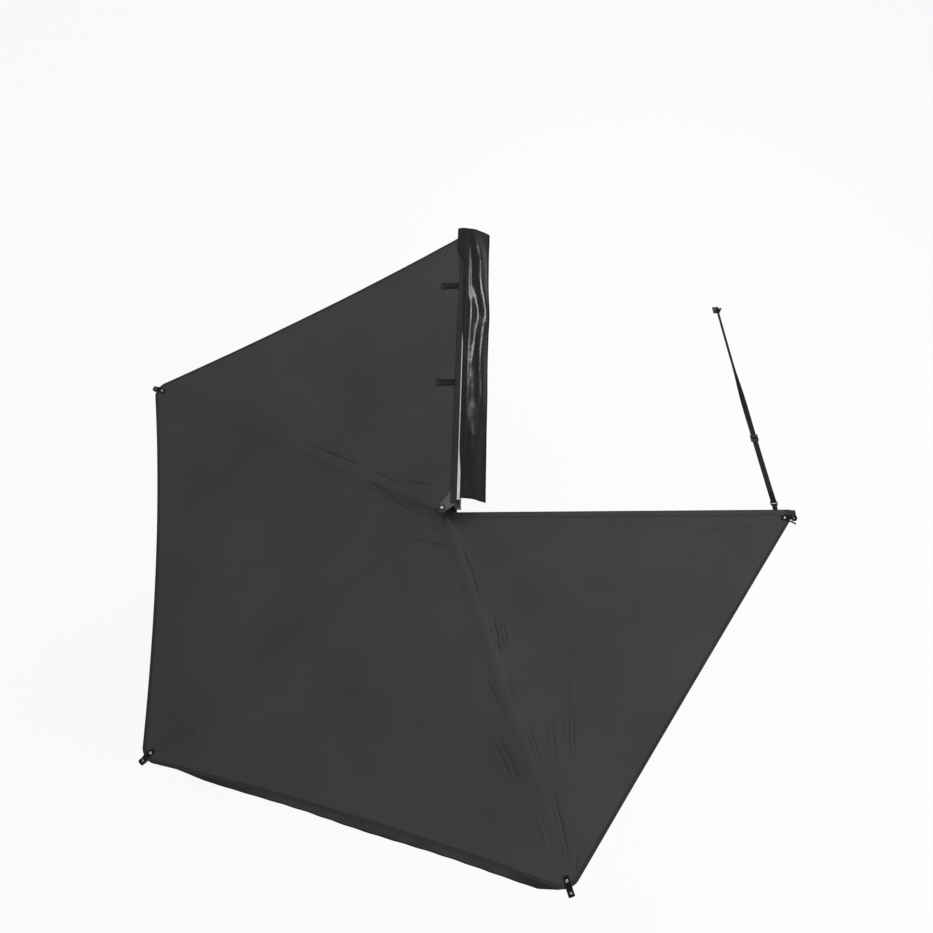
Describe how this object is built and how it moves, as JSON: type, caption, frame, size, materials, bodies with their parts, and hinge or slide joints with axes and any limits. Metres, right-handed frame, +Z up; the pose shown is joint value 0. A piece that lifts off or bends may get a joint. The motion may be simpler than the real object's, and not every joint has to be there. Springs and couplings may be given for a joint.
{
  "type": "vehicle side awning",
  "caption": "Free-standing fan awning for a vehicle's side: hinged channel rafters round a corner hub, a tensioned canopy, stowed telescopic legs and a tie strap.",
  "frame": {"origin": "centre of the middle mounting bracket's foot, on its underside", "axes": "+Z up; +X from the back plate to the vehicle's middle; +Y along the back plate from the hub to the plate's front end"},
  "size_m": [4.6807, 4.8049, 0.2006],
  "materials": {
    "mill_aluminium": "mill finish extrusion",
    "coated_aluminium": "satin powder coat",
    "zinc_steel": "zinc plated",
    "nylon": "moulded, fine grain",
    "rubber": "moulded",
    "canvas": "woven ripstop",
    "webbing": "woven webbing",
    "cover_pvc": "coated cloth, glossy",
    "flap_pvc": "coated cloth"
  },
  "bodies": {
    "base": {"back_plate": "mill_aluminium", "plate_cap_front": "nylon", "plate_cap_rear": "nylon", "mount_bracket_rear": "zinc_steel", "mount_bracket_middle": "zinc_steel", "mount_bracket_front": "zinc_steel", "hub_bracket": "mill_aluminium", "pivot_bolt": "zinc_steel", "pivot_nut": "zinc_steel", "transit_cover": "cover_pvc", "canopy_panel_1": "canvas", "storage_strap_rear": "webbing", "storage_buckle_rear": "nylon", "storage_strap_front": "webbing", "storage_buckle_front": "nylon"},
    "arm_1": {"arm_1_rail": "coated_aluminium", "arm_1_knuckle": "coated_aluminium", "arm_1_tip": "nylon", "arm_1_tension_tab": "webbing", "leg_1_hinge_pin": "zinc_steel"},
    "arm_2": {"arm_2_rail": "coated_aluminium", "arm_2_knuckle": "coated_aluminium", "arm_2_tip": "nylon", "arm_2_tension_tab": "webbing", "leg_2_hinge_pin": "zinc_steel", "canopy_panel_2": "canvas"},
    "arm_3": {"arm_3_rail": "coated_aluminium", "arm_3_knuckle": "coated_aluminium", "arm_3_tip": "nylon", "arm_3_tension_tab": "webbing", "leg_3_hinge_pin": "zinc_steel", "canopy_panel_3": "canvas", "front_flap": "flap_pvc"},
    "arm_4": {"arm_4_rail": "coated_aluminium", "arm_4_knuckle": "coated_aluminium", "arm_4_tip": "nylon", "arm_4_tension_tab": "webbing", "leg_4_hinge_pin": "zinc_steel", "canopy_panel_4": "canvas", "tie_lug": "zinc_steel"},
    "tie": {"tie_link": "zinc_steel", "tie_strap": "webbing", "tie_buckle": "nylon", "tie_bracket": "zinc_steel"},
    "leg_1": {"leg_1_outer_tube": "mill_aluminium"},
    "leg_1_lock": {"leg_1_lock_collar": "nylon"},
    "leg_1_slider": {"leg_1_inner_tube": "mill_aluminium", "leg_1_foot": "rubber"},
    "leg_2": {"leg_2_outer_tube": "mill_aluminium"},
    "leg_2_lock": {"leg_2_lock_collar": "nylon"},
    "leg_2_slider": {"leg_2_inner_tube": "mill_aluminium", "leg_2_foot": "rubber"},
    "leg_3": {"leg_3_outer_tube": "mill_aluminium"},
    "leg_3_lock": {"leg_3_lock_collar": "nylon"},
    "leg_3_slider": {"leg_3_inner_tube": "mill_aluminium", "leg_3_foot": "rubber"},
    "leg_4": {"leg_4_outer_tube": "mill_aluminium"},
    "leg_4_lock": {"leg_4_lock_collar": "nylon"},
    "leg_4_slider": {"leg_4_inner_tube": "mill_aluminium", "leg_4_foot": "rubber"}
  },
  "joints": [
    {"name": "arm_1_swing", "type": "hinge", "parent": "base", "child": "arm_1", "pos_m": [-0.1753, -1.262, 0.09925], "axis": [0, 0, 1], "range_deg": [-66.5, 0], "deforming": ["canopy_panel_1"]},
    {"name": "arm_2_swing", "type": "hinge", "parent": "base", "child": "arm_2", "pos_m": [-0.1753, -1.262, 0.05925], "axis": [0, 0, 1], "range_deg": [-133, 0], "deforming": ["canopy_panel_2"]},
    {"name": "arm_3_swing", "type": "hinge", "parent": "base", "child": "arm_3", "pos_m": [-0.1753, -1.262, 0.01925], "axis": [0, 0, 1], "range_deg": [-199.5, 0], "deforming": ["canopy_panel_3", "front_flap"]},
    {"name": "arm_4_swing", "type": "hinge", "parent": "base", "child": "arm_4", "pos_m": [-0.1753, -1.262, -0.02075], "axis": [0, 0, 1], "range_deg": [-271, 0], "deforming": ["canopy_panel_4"]},
    {"name": "tie_swing", "type": "hinge", "parent": "arm_4", "child": "tie", "pos_m": [2.12556, -1.17683, 0.00015], "axis": [0, 0, 1], "range_deg": [0, 84.74]},
    {"name": "leg_1_fold", "type": "hinge", "parent": "arm_1", "child": "leg_1", "pos_m": [-2.36249, -0.31098, 0.11305], "axis": [0.3987, 0.9171, 0], "range_deg": [0, 90]},
    {"name": "leg_1_extend", "type": "slide", "parent": "leg_1", "child": "leg_1_slider", "axis": [0.9171, -0.3987, 0], "range_m": [0, 0.95]},
    {"name": "leg_1_twist", "type": "hinge", "parent": "leg_1", "child": "leg_1_lock", "pos_m": [-2.36249, -0.31098, 0.11305], "axis": [0.9171, -0.3987, 0], "range_deg": [0, 90]},
    {"name": "leg_2_fold", "type": "hinge", "parent": "arm_2", "child": "leg_2", "pos_m": [-1.91958, -2.88857, 0.07305], "axis": [-0.682, 0.7314, 0], "range_deg": [0, 90]},
    {"name": "leg_2_extend", "type": "slide", "parent": "leg_2", "child": "leg_2_slider", "axis": [0.7314, 0.682, 0], "range_m": [0, 0.95]},
    {"name": "leg_2_twist", "type": "hinge", "parent": "leg_2", "child": "leg_2_lock", "pos_m": [-1.91958, -2.88857, 0.07305], "axis": [0.7314, 0.682, 0], "range_deg": [0, 90]},
    {"name": "leg_3_fold", "type": "hinge", "parent": "arm_3", "child": "leg_3", "pos_m": [0.62083, -3.5102, 0.03305], "axis": [-0.9426, -0.3338, 0], "range_deg": [0, 90]},
    {"name": "leg_3_extend", "type": "slide", "parent": "leg_3", "child": "leg_3_slider", "axis": [-0.3338, 0.9426, 0], "range_m": [0, 0.95]},
    {"name": "leg_3_twist", "type": "hinge", "parent": "leg_3", "child": "leg_3_lock", "pos_m": [0.62083, -3.5102, 0.03305], "axis": [-0.3338, 0.9426, 0], "range_deg": [0, 90]},
    {"name": "leg_4_fold", "type": "hinge", "parent": "arm_4", "child": "leg_4", "pos_m": [2.20934, -1.22038, -0.00695], "axis": [0.0175, -0.9998, 0], "range_deg": [0, 90]},
    {"name": "leg_4_extend", "type": "slide", "parent": "leg_4", "child": "leg_4_slider", "axis": [-0.9998, -0.0175, 0], "range_m": [0, 0.95]},
    {"name": "leg_4_twist", "type": "hinge", "parent": "leg_4", "child": "leg_4_lock", "pos_m": [2.20934, -1.22038, -0.00695], "axis": [-0.9998, -0.0175, 0], "range_deg": [0, 90]}
  ],
  "couplings": [
    {"joint": "arm_1_swing", "follows": "arm_4_swing", "ratio": 0.24538},
    {"joint": "arm_2_swing", "follows": "arm_4_swing", "ratio": 0.49077},
    {"joint": "arm_3_swing", "follows": "arm_4_swing", "ratio": 0.73616},
    {"joint": "tie_swing", "follows": "arm_4_swing", "ratio": -0.31269}
  ]
}
